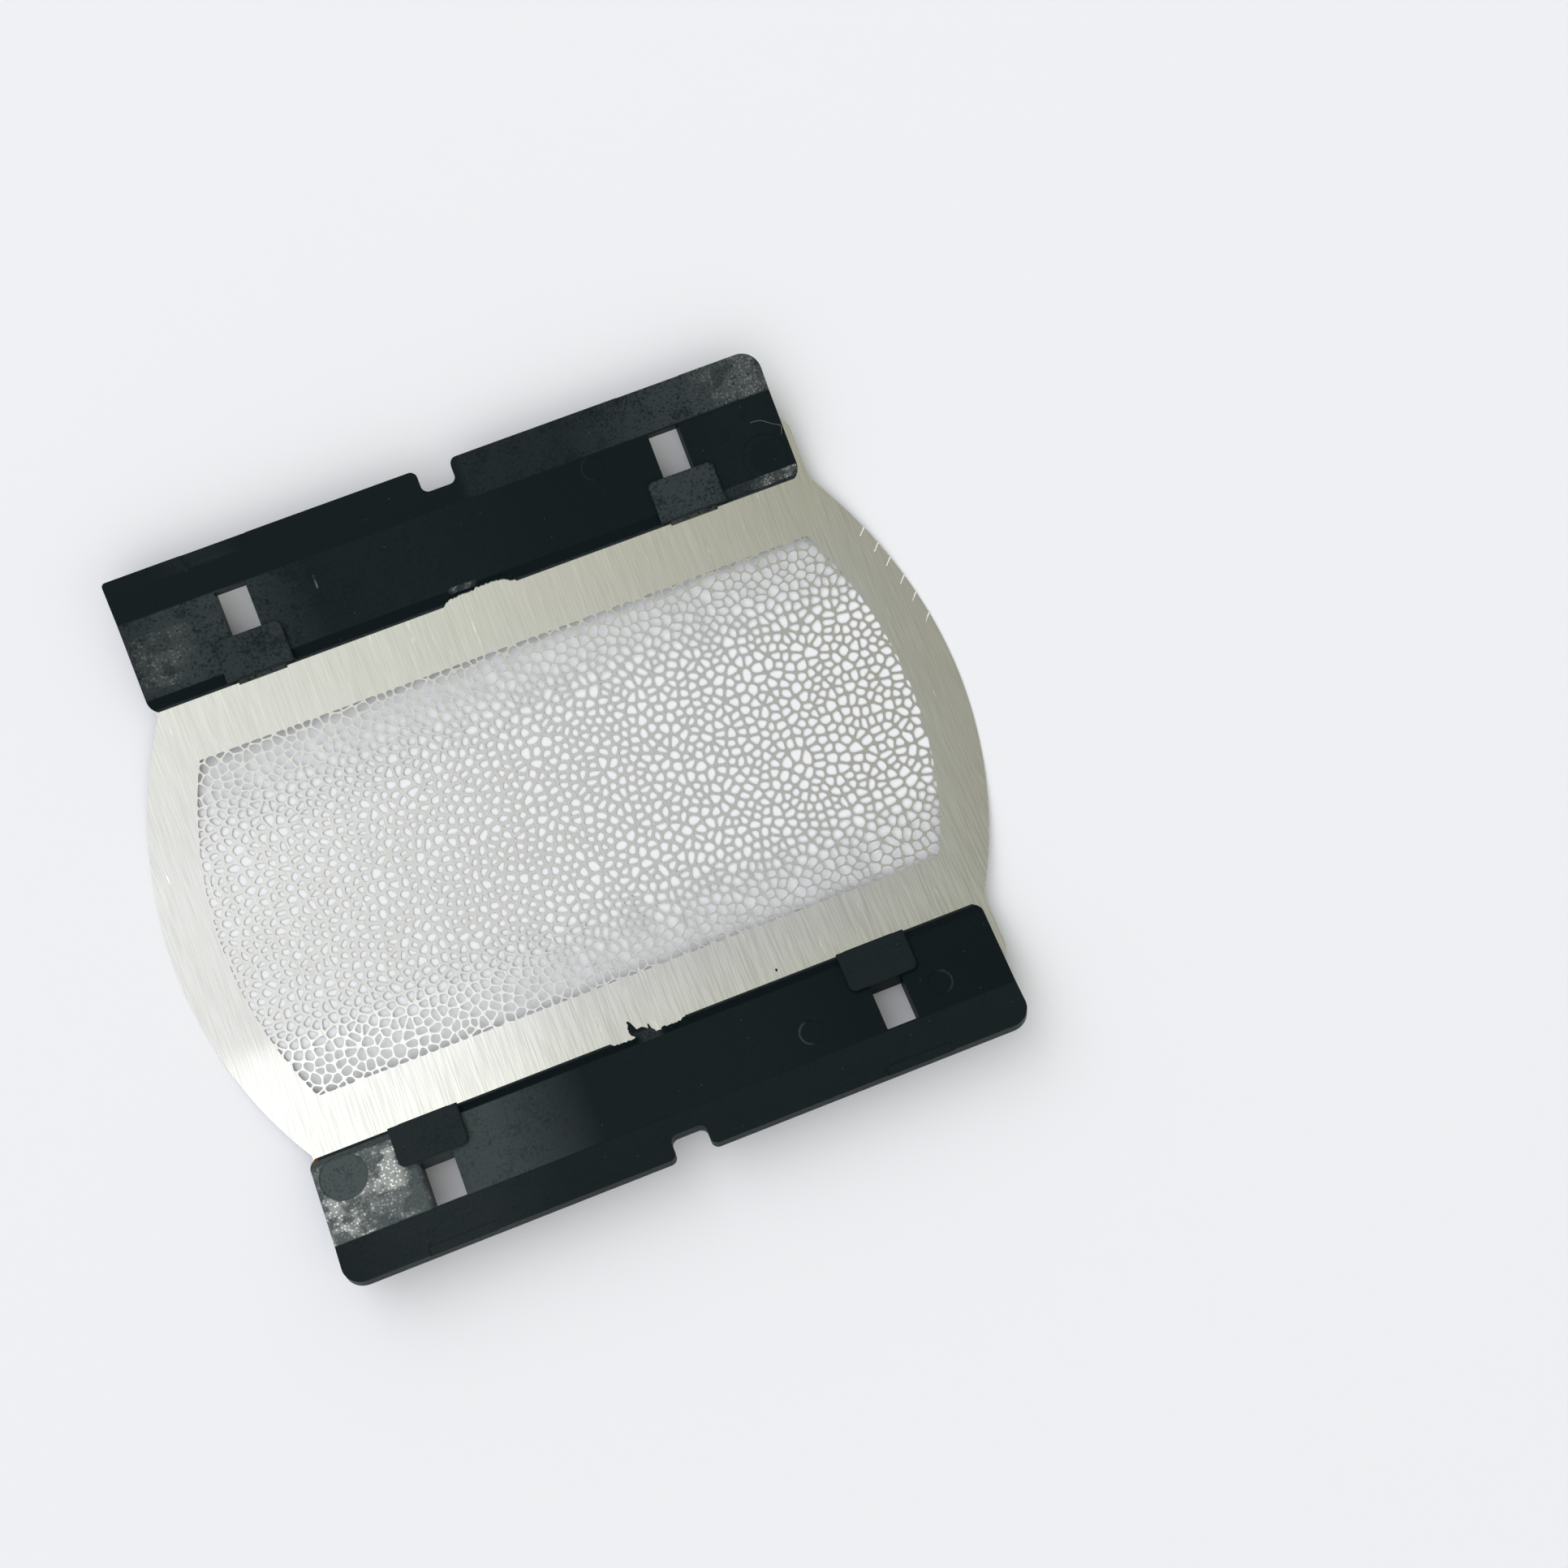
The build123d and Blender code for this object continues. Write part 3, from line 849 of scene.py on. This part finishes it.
def cotton_lint(strips):
    """Cotton lint: a thin dull grey fibre, lighter and darker along its twists."""
    material, tree = new_material("twisted_cotton_lint")
    place = add_node(tree, "TexCoord").outputs["Object"]
    # A cotton fibre twists about every 0.2 mm
    twists = cloud_pattern(tree, place, 0.2 * MM, 2.0, (0.35, 0.65))
    shade = add_node(tree, "Mix", {
        0: twists, 6: strips.lint_shade, 7: strips.lint
    }, data_type="RGBA").outputs[2]
    shader = add_node(tree, "BsdfPrincipled", {
        "Base Color": shade, "Roughness": 0.8, "Specular IOR Level": 0.2
    })
    add_node(tree, "OutputMaterial", {"Surface": shader.outputs["BSDF"]})
    return material


def to_strip_frame(sheet, side, point):
    """A point of the piece in the plane of its strip."""
    turn = Matrix.Rotation(-sheet.lift_angle, 3, "X")
    return turn @ (Vector((point[0], side * point[1], point[2])) - strip_foot(sheet))


def from_strip_frame(sheet, side, point):
    """The place in space of a point given in the plane of a strip."""
    place = Matrix.Rotation(sheet.lift_angle, 3, "X") @ Vector(point) + strip_foot(sheet)
    return Vector((place.x, side * place.y, place.z))


# Edges of a strip that handling has rounded: their least length, angle in degrees and height above the
# underside of the foil
WORN_LENGTH = 0.3 * MM
WORN_ANGLE = 40.0
WORN_HEIGHT = 0.2 * MM
# Between a pad and its window there is no room for a round: where that line lies, and how near counts
WINDOW_LINE = 2.85 * MM
WINDOW_NEAR = 0.1 * MM


def worn_edges(piece, sheet, side):
    """Selects the long sharp edges of a strip's upper side, which handling has rounded."""
    mesh = bmesh.from_edit_mesh(piece.data)
    for item in (*mesh.faces, *mesh.edges, *mesh.verts):
        item.select = False
    count = 0
    for edge in mesh.edges:
        if len(edge.link_faces) != 2 or edge.calc_length() < WORN_LENGTH:
            continue
        if edge.calc_face_angle() < math.radians(WORN_ANGLE) or not edge.is_convex:
            continue
        middle = to_strip_frame(sheet, side, (edge.verts[0].co + edge.verts[1].co) / 2.0)
        if middle.z < WORN_HEIGHT or abs(middle.y - WINDOW_LINE) < WINDOW_NEAR:
            continue
        edge.select = True
        count += 1
    bmesh.update_edit_mesh(piece.data)
    return count


# Torn gates in the plane of a strip, in millimetres: place along it, and where the tear ends across it
UPPER_TEAR = (
    (-2.6, 0.42), (-2.35, 0.46), (-2.1, 0.55), (-1.8, 0.57), (-1.3, 0.62), (-0.6, 0.59), (-0.5, 0.72),
    (0.0, 0.67), (0.15, 0.72), (0.7, 0.69), (1.3, 0.58), (1.45, 0.44), (1.7, 0.36), (1.9, 0.38),
)
LOWER_TEAR = (
    (-2.6, 0.50), (-2.3, 0.47), (-1.5, 0.50), (-1.2, 0.46), (-0.8, 0.40), (-0.1, 0.36), (0.0, 0.52),
    (0.35, 0.55), (0.45, 0.40), (0.6, 0.42), (0.7, 0.49), (1.55, 0.46), (1.7, 0.36), (1.9, 0.28),
)
# Grid of a torn gate, and how uneven its front and its top are, in millimetres
GATE_COLUMNS, GATE_ROWS = 72, 3
GATE_RAGGED, GATE_UNEVEN = 0.035, 0.05
# Height of a gate at its torn front and what it gains towards its back, as shares
GATE_RISE = (0.55, 0.45)
# Air between a gate and the foil
GATE_CLEAR = 0.002 * MM
# Outline of the flake that stands off the lower gate
FLAKE = (
    (-1.18, 0.60), (-1.13, 0.28), (-1.34, 0.06), (-1.40, -0.16), (-1.29, -0.34), (-1.34, -0.50),
    (-1.24, -0.56), (-1.12, -0.40), (-0.98, -0.10), (-0.92, 0.04), (-0.62, 0.00), (-0.42, 0.12),
    (-0.30, 0.22), (-0.27, -0.02), (-0.20, -0.04), (-0.12, 0.26), (0.05, 0.42), (0.02, 0.60),
)
# The flake leaves the tear at this place across the strip and at this height, both in millimetres, and
# rises by this share of its length
FLAKE_ROOT, FLAKE_HEIGHT, FLAKE_CURL = 0.6, 0.16, 0.22
# Crumb on the lower margin, in the plane of the lower strip and in millimetres
CRUMB_PLACE = (7.6, -0.34)
# How uneven the crumb is, and how much of its height lies below its middle, as shares
CRUMB_UNEVEN = (0.8, 1.0)
CRUMB_FOOT = 0.3
# Lint fibre on the right end of the upper strip, in the plane of that strip and in millimetres
LINT_ROUTE = (
    (17.9, 4.15), (18.45, 4.15), (18.85, 3.85), (19.2, 3.6), (19.6, 3.4), (19.5, 3.15), (19.4, 2.9)
)
# Places of the broken tabs along the right rim, in millimetres from the middle of the sheet
RIM_TABS = (9.6, 8.45, 7.4, 6.1, 4.9, 3.45)
# A tab's turn and tilt in degrees, its share of the sheet's thickness, and how far its middle lies in from
# the rim and above the sheet
TAB_TURN, TAB_TILT = 44.0, -25.0
TAB_THICKNESS = 0.7
TAB_IN, TAB_ABOVE = 0.27 * MM, 0.015 * MM
# Corners this far from a tab's root are its free end, which is drawn in by this share
TAB_FREE = 0.3 * MM
TAB_TAPER = 0.35


def tear_front(tear, x):
    """Where a tear ends across the strip at a place along it, both in millimetres."""
    for (x_low, y_low), (x_high, y_high) in zip(tear, tear[1:]):
        if x <= x_high:
            share = max(0.0, (x - x_low) / (x_high - x_low))
            return y_low + share * (y_high - y_low)
    return tear[-1][1]


def torn_gate(name, sheet, strips, side, tear):
    """Ragged rest of a moulding gate: a grid pulled up and torn to its front line."""
    dice = random.Random(len(tear) + int(side))
    columns, rows = GATE_COLUMNS, GATE_ROWS
    grid = {"x_subdivisions": columns, "y_subdivisions": rows, "size": 1.0}
    piece = added(name, bpy.ops.mesh.primitive_grid_add, **grid)
    bpy.ops.object.mode_set(mode="EDIT")
    bpy.ops.mesh.select_all(action="SELECT")
    bpy.ops.mesh.extrude_region_move(TRANSFORM_OT_translate={"value": (0.0, 0.0, 1.0)})
    bpy.ops.object.mode_set(mode="OBJECT")
    ragged = [dice.uniform(-GATE_RAGGED, GATE_RAGGED) for _ in range(columns + 1)]
    uneven = [[dice.uniform(-GATE_UNEVEN, GATE_UNEVEN) for _ in range(rows + 1)] for _ in range(columns + 1)]
    for vertex in piece.data.vertices:
        along, inward, upward = vertex.co.x + 0.5, vertex.co.y + 0.5, round(vertex.co.z)
        column, row = round(along * columns), round(inward * rows)
        x = strips.tear_left + along * (strips.tear_right - strips.tear_left)
        front = (tear_front(tear, x / MM) + ragged[column]) * MM
        y = front + inward * (strips.tear_back - front)
        top = strips.tear_height * (GATE_RISE[0] + GATE_RISE[1] * inward) + uneven[column][row] * MM
        z = top if upward else sheet.thickness + GATE_CLEAR
        vertex.co = from_strip_frame(sheet, side, (x, y, z))
    face_outward()
    return piece


class SHAVER_FOIL_OT_screen(bpy.types.Operator):
    """Builds the curled nickel sheet with its perforated field"""

    bl_idname = "shaver_foil.screen"
    bl_label = "Foil Screen"

    def execute(self, context):
        sheet = context.scene.shaver_foil_sheet
        points, faces = screen_mesh(sheet)
        piece = new_piece("foil_screen", points, faces)
        apply_modifier(piece, "thickness", "SOLIDIFY", thickness=sheet.thickness, offset=1.0, use_rim=True)
        select_only(piece)
        bpy.ops.object.shade_smooth_by_angle(angle=math.radians(30.0))
        piece.data.materials.append(sanded_nickel(sheet))
        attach(piece, "root")
        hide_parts("foil")
        return {"FINISHED"}


class SHAVER_FOIL_OT_tabs(bpy.types.Operator):
    """Builds the broken tabs on the right rim of the sheet"""

    bl_idname = "shaver_foil.tabs"
    bl_label = "Rim Tabs"

    def execute(self, context):
        sheet = context.scene.shaver_foil_sheet
        bpy.ops.object.select_all(action="DESELECT")
        tabs = []
        for place in RIM_TABS:
            t = place * MM
            root = Vector(on_sheet(sheet, sheet_side(sheet, t), t))
            bpy.ops.mesh.primitive_cube_add(size=1.0)
            tab = context.object
            tabs.append(tab)
            # Each tab is folded back over the rim and leans to the left
            turn = Matrix.Rotation(math.radians(TAB_TURN), 4, "Z")
            lean = turn @ Matrix.Rotation(math.radians(TAB_TILT), 4, "X")
            middle = Matrix.Translation(root + Vector((0.0, 0.0, sheet.thickness)))
            size = Matrix.Diagonal((sheet.tab_length, sheet.tab_width, TAB_THICKNESS * sheet.thickness, 1.0))
            tab.data.transform(middle @ lean @ Matrix.Translation((-TAB_IN, 0.0, TAB_ABOVE)) @ size)
            # The free end is torn to a point
            for vertex in tab.data.vertices:
                if (vertex.co - root).length > TAB_FREE and vertex.index % 2:
                    vertex.co += TAB_TAPER * (root - vertex.co)
        bpy.ops.object.select_all(action="DESELECT")
        for tab in tabs:
            tab.select_set(True)
        context.view_layer.objects.active = tabs[0]
        bpy.ops.object.join()
        piece = context.object
        piece.name = "rim_tabs"
        piece.data.materials.append(bpy.data.materials["sanded_electroformed_nickel"])
        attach(piece, "root")
        return {"FINISHED"}


class SHAVER_FOIL_OT_strips(bpy.types.Operator):
    """Builds the two moulded strips"""

    bl_idname = "shaver_foil.strips"
    bl_label = "Moulded Strips"

    def execute(self, context):
        sheet = context.scene.shaver_foil_sheet
        strips = context.scene.shaver_foil_strips
        wear_and_sheen = {"upper_strip": UPPER_WEAR_AND_SHEEN, "lower_strip": LOWER_WEAR_AND_SHEEN}
        for node, side in STRIP_SIDES:
            piece = bpy.data.objects.new("moulded_" + node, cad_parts[node].data.copy())
            context.scene.collection.objects.link(piece)
            piece.data.materials.clear()
            select_only(piece)
            bpy.ops.mesh.customdata_custom_splitnormals_clear()
            bpy.ops.object.mode_set(mode="EDIT")
            bpy.ops.mesh.select_mode(type="EDGE")
            bpy.ops.mesh.select_all(action="SELECT")
            bpy.ops.mesh.remove_doubles(threshold=0.001 * MM)
            bpy.ops.mesh.dissolve_limited(angle_limit=math.radians(0.5))
            if not worn_edges(piece, sheet, side):
                raise RuntimeError("no edge to round on " + node)
            bpy.ops.mesh.bevel(offset=strips.edge_radius, segments=3, clamp_overlap=True)
            bpy.ops.object.mode_set(mode="OBJECT")
            bpy.ops.object.shade_smooth_by_angle(angle=math.radians(31.0))
            apply_modifier(piece, "flat faces", "WEIGHTED_NORMAL", keep_sharp=True, weight=100)
            material = moulded_plastic("satin_moulded_plastic_" + node, strips, sheet, side, wear_and_sheen[node])
            piece.data.materials.append(material)
            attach(piece, "root")
            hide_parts(node)
        return {"FINISHED"}


class SHAVER_FOIL_OT_gates(bpy.types.Operator):
    """Builds the torn moulding gates in the middle of the strips"""

    bl_idname = "shaver_foil.gates"
    bl_label = "Torn Gates"

    def execute(self, context):
        sheet = context.scene.shaver_foil_sheet
        strips = context.scene.shaver_foil_strips
        pieces = []
        for (node, side), tear in zip(STRIP_SIDES, (UPPER_TEAR, LOWER_TEAR)):
            pieces.append((torn_gate("torn_gate_" + node, sheet, strips, side, tear), node))
        # The flake curls up from the tear towards its tip
        node, side = STRIP_SIDES[1]
        corners = []
        for x, y in FLAKE:
            height = FLAKE_HEIGHT + FLAKE_CURL * (FLAKE_ROOT - y)
            corners.append(from_strip_frame(sheet, side, (x * MM, y * MM, height * MM)))
        flake = new_piece("torn_flake", corners, [range(len(FLAKE))])
        thickness = strips.flake_thickness
        apply_modifier(flake, "thickness", "SOLIDIFY", thickness=thickness, offset=0.0, use_rim=True)
        face_outward(split=True)
        pieces.append((flake, node))
        for piece, node in pieces:
            piece.data.materials.append(bpy.data.materials["satin_moulded_plastic_" + node])
            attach(piece, "root")
        return {"FINISHED"}


class SHAVER_FOIL_OT_dirt(bpy.types.Operator):
    """Builds the crumb and the lint fibre that lie on the part"""

    bl_idname = "shaver_foil.dirt"
    bl_label = "Crumb and Lint"

    def execute(self, context):
        sheet = context.scene.shaver_foil_sheet
        strips = context.scene.shaver_foil_strips
        dice = random.Random(sheet.seed)
        crumb = added("plastic_crumb", bpy.ops.mesh.primitive_ico_sphere_add, subdivisions=2, radius=0.5)
        # A broken crumb is uneven, and flat where it lies on the foil
        for vertex in crumb.data.vertices:
            lump = vertex.co * dice.uniform(*CRUMB_UNEVEN)
            x = CRUMB_PLACE[0] * MM + lump.x * strips.crumb_width
            y = CRUMB_PLACE[1] * MM + lump.y * strips.crumb_length
            z = sheet.thickness + max(0.0, lump.z + CRUMB_FOOT) * strips.crumb_height
            vertex.co = from_strip_frame(sheet, -1.0, (x, y, z))
        face_outward()
        crumb.data.materials.append(bpy.data.materials["satin_moulded_plastic_lower_strip"])
        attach(crumb, "root")

        curve = bpy.data.curves.new("lint_fibre", "CURVE")
        curve.dimensions = "3D"
        curve.bevel_depth = strips.lint_thickness / 2.0
        curve.bevel_resolution = 1
        curve.use_fill_caps = True
        spline = curve.splines.new("NURBS")
        spline.points.add(len(LINT_ROUTE) - 1)
        height = strips.plate_top + strips.lint_thickness / 2.0
        for point, (x, y) in zip(spline.points, LINT_ROUTE):
            point.co = (*from_strip_frame(sheet, 1.0, (x * MM, y * MM, height)), 1.0)
        spline.order_u = 3
        spline.use_endpoint_u = True
        lint = bpy.data.objects.new("lint_fibre", curve)
        context.scene.collection.objects.link(lint)
        select_only(lint)
        bpy.ops.object.convert(target="MESH")
        lint = context.object
        lint.data.materials.clear()
        lint.data.materials.append(cotton_lint(strips))
        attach(lint, "root")
        return {"FINISHED"}


# Camera in millimetres, from a fit to the strips' edges and windows
CAMERA_PLACE = (-2.605, -34.03, 145.86)
CAMERA_LOOK = (0.0978, 0.2069, -0.9735)
CAMERA_UP = (0.3537, 0.9071, 0.2283)
# Lamp: direction from the foil, distance and side in millimetres
KEY_LAMP = ((-0.396, 0.57, 0.72), 800.0, 620.0)


def matte_table(stage):
    """White matte table."""
    material, tree = new_material("matte_white_table")
    shader = add_node(tree, "BsdfPrincipled", {
        "Base Color": stage.table, "Roughness": 0.9, "Specular IOR Level": 0.0
    })
    add_node(tree, "OutputMaterial", {"Surface": shader.outputs["BSDF"]})
    return material


def soft_sky(stage):
    """Sky that is brighter at the left and in front, with a warm tint at the right and an even horizon."""
    world = bpy.data.worlds.new("soft_sky")
    world.use_nodes = True
    tree = world.node_tree
    tree.nodes.clear()
    direction = add_node(tree, "TexCoord").outputs["Generated"]
    axes = add_node(tree, "SeparateXYZ", {"Vector": direction}).outputs
    ramps = {}
    for name, axis, low, high in (
        ("right", "X", -0.28, 0.32), ("upward", "Z", 0.3, 0.85), ("front", "Y", -0.2, -0.6),
        ("near", "Y", 0.12, -0.05), ("far", "Y", 0.42, 0.62), ("aside", "X", 0.08, 0.18),
    ):
        ramps[name] = add_node(tree, "MapRange", {
            "Value": axes[axis], "From Min": low, "From Max": high
        }, interpolation_type="SMOOTHSTEP").outputs["Result"]
    across = add_node(tree, "Mix", {
        0: ramps["right"], 2: stage.sky_left, 3: stage.sky_right
    }).outputs[0]
    ahead = add_node(tree, "Math", {
        0: ramps["front"], 1: stage.sky_front, 2: across
    }, operation="MULTIPLY_ADD").outputs[0]
    strength = add_node(tree, "Mix", {
        0: ramps["upward"], 2: stage.sky_low, 3: ahead
    }).outputs[0]
    warm = ramps["near"]
    for operation, name in (
        ("ADD", "far"), ("MAXIMUM", "aside"), ("MULTIPLY", "right"), ("MULTIPLY", "upward")
    ):
        warm = add_node(tree, "Math", {0: warm, 1: ramps[name]}, operation=operation).outputs[0]
    tint = add_node(tree, "Mix", {
        0: warm, 6: stage.sky_cool, 7: stage.sky_warm
    }, data_type="RGBA").outputs[2]
    sky = add_node(tree, "Background", {"Color": tint, "Strength": strength})
    add_node(tree, "OutputWorld", {"Surface": sky.outputs["Background"]})
    return world


def soft_lamp(name, setup, power):
    """Square lamp that looks at the foil from a direction, with two edges across the strips."""
    direction, distance, side = setup
    towards = Vector(direction).normalized()
    across = (Vector((1.0, 0.0, 0.0)) - towards.x * towards).normalized()
    lamp = added(name, bpy.ops.object.light_add, type="AREA")
    turn = Matrix((across, towards.cross(across), towards)).transposed().to_4x4()
    lamp.matrix_world = Matrix.Translation(towards * distance * MM) @ turn
    lamp.data.shape = "SQUARE"
    lamp.data.size = side * MM
    lamp.data.energy = power


class SHAVER_FOIL_OT_stage(bpy.types.Operator):
    """Sets the white table, the soft light and the camera"""

    bl_idname = "shaver_foil.stage"
    bl_label = "Table, Light and Camera"

    def execute(self, context):
        stage = context.scene.shaver_foil_stage
        place = (0.0, 0.0, -stage.floor_gap)
        table = added("table", bpy.ops.mesh.primitive_plane_add, size=stage.floor_size, location=place)
        bpy.ops.object.transform_apply(location=True, rotation=True, scale=True)
        table.data.materials.append(matte_table(stage))
        context.scene.world = soft_sky(stage)
        soft_lamp("key_lamp", KEY_LAMP, stage.key_power)
        look = Vector(CAMERA_LOOK).normalized()
        right = look.cross(Vector(CAMERA_UP)).normalized()
        up = right.cross(look)
        camera = added("photo_camera", bpy.ops.object.camera_add)
        turn = Matrix((right, up, -look)).transposed().to_4x4()
        camera.matrix_world = Matrix.Translation(Vector(CAMERA_PLACE) * MM) @ turn
        camera.data.sensor_width = 36.0
        camera.data.lens = stage.focal_length
        camera.data.clip_start = 1.0 * MM
        camera.data.clip_end = 10.0
        context.scene.camera = camera
        context.scene.view_settings.view_transform = "Standard"
        return {"FINISHED"}


class SHAVER_FOIL_PT_build(bpy.types.Panel):
    """Lists the steps that build the foil"""

    bl_idname = "SHAVER_FOIL_PT_build"
    bl_label = "Shaver Foil"
    bl_space_type = "VIEW_3D"
    bl_region_type = "UI"
    bl_category = "Shaver Foil"

    def draw(self, context):
        for step in STEPS:
            self.layout.operator(step.bl_idname)
        for setting in SETTINGS:
            group = getattr(context.scene, setting)
            box = self.layout.box()
            for name in group.bl_rna.properties.keys():
                if name not in ("rna_type", "name"):
                    box.prop(group, name)


STEPS = (
    SHAVER_FOIL_OT_screen, SHAVER_FOIL_OT_tabs, SHAVER_FOIL_OT_strips, SHAVER_FOIL_OT_gates,
    SHAVER_FOIL_OT_dirt, SHAVER_FOIL_OT_stage,
)
SETTINGS = {
    "shaver_foil_sheet": ShaverFoilSheet,
    "shaver_foil_strips": ShaverFoilStrips,
    "shaver_foil_stage": ShaverFoilStage,
}
CLASSES = (*SETTINGS.values(), *STEPS, SHAVER_FOIL_PT_build)


def register():
    for kind in CLASSES:
        bpy.utils.register_class(kind)
    for setting, kind in SETTINGS.items():
        setattr(bpy.types.Scene, setting, PointerProperty(type=kind))


def unregister():
    for setting in SETTINGS:
        delattr(bpy.types.Scene, setting)
    for kind in reversed(CLASSES):
        bpy.utils.unregister_class(kind)


def main():
    register()
    bpy.ops.shaver_foil.screen()
    bpy.ops.shaver_foil.tabs()
    bpy.ops.shaver_foil.strips()
    bpy.ops.shaver_foil.gates()
    bpy.ops.shaver_foil.dirt()
    bpy.ops.shaver_foil.stage()


if __name__ == "__main__":
    main()
